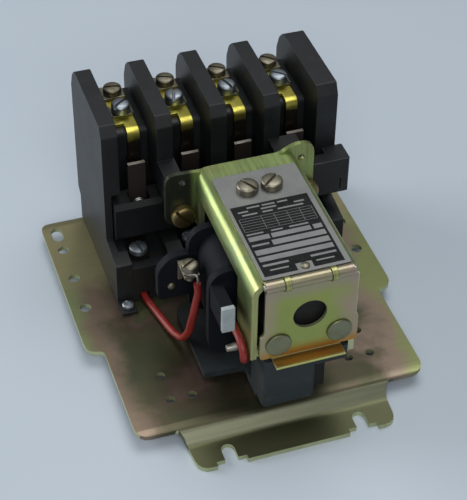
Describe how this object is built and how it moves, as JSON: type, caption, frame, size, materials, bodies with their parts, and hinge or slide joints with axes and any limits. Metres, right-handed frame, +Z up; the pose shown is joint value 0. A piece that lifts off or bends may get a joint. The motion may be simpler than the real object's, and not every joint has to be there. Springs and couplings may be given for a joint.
{
  "type": "open magnetic contactor",
  "caption": "Open magnetic contactor with a barriered contact block, slide-action magnet and coil, hinged gate and a joggled steel mounting plate.",
  "frame": {"origin": "centre of the box at the height of the surface the two feet rest on", "axes": "+X across the poles, +Y from the gate to the line terminals, +Z up off the mounting plate"},
  "size_m": [0.1306, 0.1654, 0.0867],
  "materials": {
    "chromate_steel": "yellow iridescent chromate over zinc plate",
    "phenolic": "compression-moulded black phenolic, satin",
    "slate_plastic": "dark slate moulded plastic",
    "brass": "rolled bright brass",
    "zinc_steel": "clear zinc plate",
    "nickel_steel": "warm dull nickel plate",
    "copper": "browned copper with silver tips",
    "lamination_steel": "oiled silicon steel laminations",
    "aluminium_plate": "matt anodised nameplate with a black printed panel",
    "red_insulation": "red plastic insulation, satin",
    "white_nylon": "white nylon",
    "coil_resin": "dark resin moulding, satin"
  },
  "bodies": {
    "base": {"mounting_plate": "chromate_steel", "magnet_frame": "chromate_steel", "contact_block": "phenolic", "auxiliary_block": "phenolic", "line_contact_1": "brass", "load_contact_1": "brass", "line_contact_2": "brass", "load_contact_2": "brass", "line_contact_3": "brass", "load_contact_3": "brass", "line_contact_4": "brass", "load_contact_4": "brass", "frame_screw_left": "brass", "frame_screw_right": "brass", "line_screw_1": "zinc_steel", "load_screw_1": "zinc_steel", "line_screw_2": "zinc_steel", "load_screw_2": "zinc_steel", "line_screw_3": "zinc_steel", "load_screw_3": "zinc_steel", "line_screw_4": "zinc_steel", "load_screw_4": "zinc_steel", "block_screw_left": "zinc_steel", "block_screw_right": "zinc_steel", "hinge_pin": "zinc_steel", "coil_terminal": "zinc_steel", "return_spring": "zinc_steel", "line_clamp_plate_1": "nickel_steel", "line_clamp_screw_1": "nickel_steel", "line_clamp_plate_2": "nickel_steel", "line_clamp_screw_2": "nickel_steel", "line_clamp_plate_3": "nickel_steel", "line_clamp_screw_3": "nickel_steel", "line_clamp_plate_4": "nickel_steel", "line_clamp_screw_4": "nickel_steel", "nameplate_screw_left": "nickel_steel", "nameplate_screw_right": "nickel_steel", "coil_terminal_screw": "nickel_steel", "shading_ring_top": "copper", "shading_ring_bottom": "copper", "magnet_yoke": "lamination_steel", "nameplate": "aluminium_plate", "coil_wire": "red_insulation", "gate_wire": "red_insulation", "coil_guide": "white_nylon", "coil": "coil_resin"},
    "carrier": {"contact_carrier": "slate_plastic", "armature": "lamination_steel", "contact_spring_1": "zinc_steel", "contact_spring_2": "zinc_steel", "contact_spring_3": "zinc_steel", "contact_spring_4": "zinc_steel"},
    "gate": {"gate": "chromate_steel", "gate_latch": "chromate_steel", "gate_rivet_left": "zinc_steel", "gate_rivet_right": "zinc_steel"},
    "bridge_1": {"movable_contact_1": "copper"},
    "bridge_2": {"movable_contact_2": "copper"},
    "bridge_3": {"movable_contact_3": "copper"},
    "bridge_4": {"movable_contact_4": "copper"}
  },
  "joints": [
    {"name": "carrier_slide", "type": "slide", "parent": "base", "child": "carrier", "axis": [0, 1, 0], "range_m": [0, 0.0064], "stiffness_N_per_m": 400, "springref_m": -0.004, "deforming": ["return_spring"]},
    {"name": "bridge_slide_1", "type": "slide", "parent": "carrier", "child": "bridge_1", "axis": [0, 1, 0], "range_m": [-0.0016, 0], "stiffness_N_per_m": 250, "deforming": ["contact_spring_1"]},
    {"name": "bridge_slide_2", "type": "slide", "parent": "carrier", "child": "bridge_2", "axis": [0, 1, 0], "range_m": [-0.0016, 0], "stiffness_N_per_m": 250, "deforming": ["contact_spring_2"]},
    {"name": "bridge_slide_3", "type": "slide", "parent": "carrier", "child": "bridge_3", "axis": [0, 1, 0], "range_m": [-0.0016, 0], "stiffness_N_per_m": 250, "deforming": ["contact_spring_3"]},
    {"name": "bridge_slide_4", "type": "slide", "parent": "carrier", "child": "bridge_4", "axis": [0, 1, 0], "range_m": [-0.0016, 0], "stiffness_N_per_m": 250, "deforming": ["contact_spring_4"]},
    {"name": "gate_hinge", "type": "hinge", "parent": "base", "child": "gate", "pos_m": [0.0057, -0.069, 0.0744], "axis": [-1, 0, 0], "range_deg": [0, 110]}
  ],
  "couplings": [
    {"joint": "bridge_slide_1", "follows": "carrier_slide", "ratio": -0.25},
    {"joint": "bridge_slide_2", "follows": "carrier_slide", "ratio": -0.25},
    {"joint": "bridge_slide_3", "follows": "carrier_slide", "ratio": -0.25},
    {"joint": "bridge_slide_4", "follows": "carrier_slide", "ratio": -0.25}
  ]
}
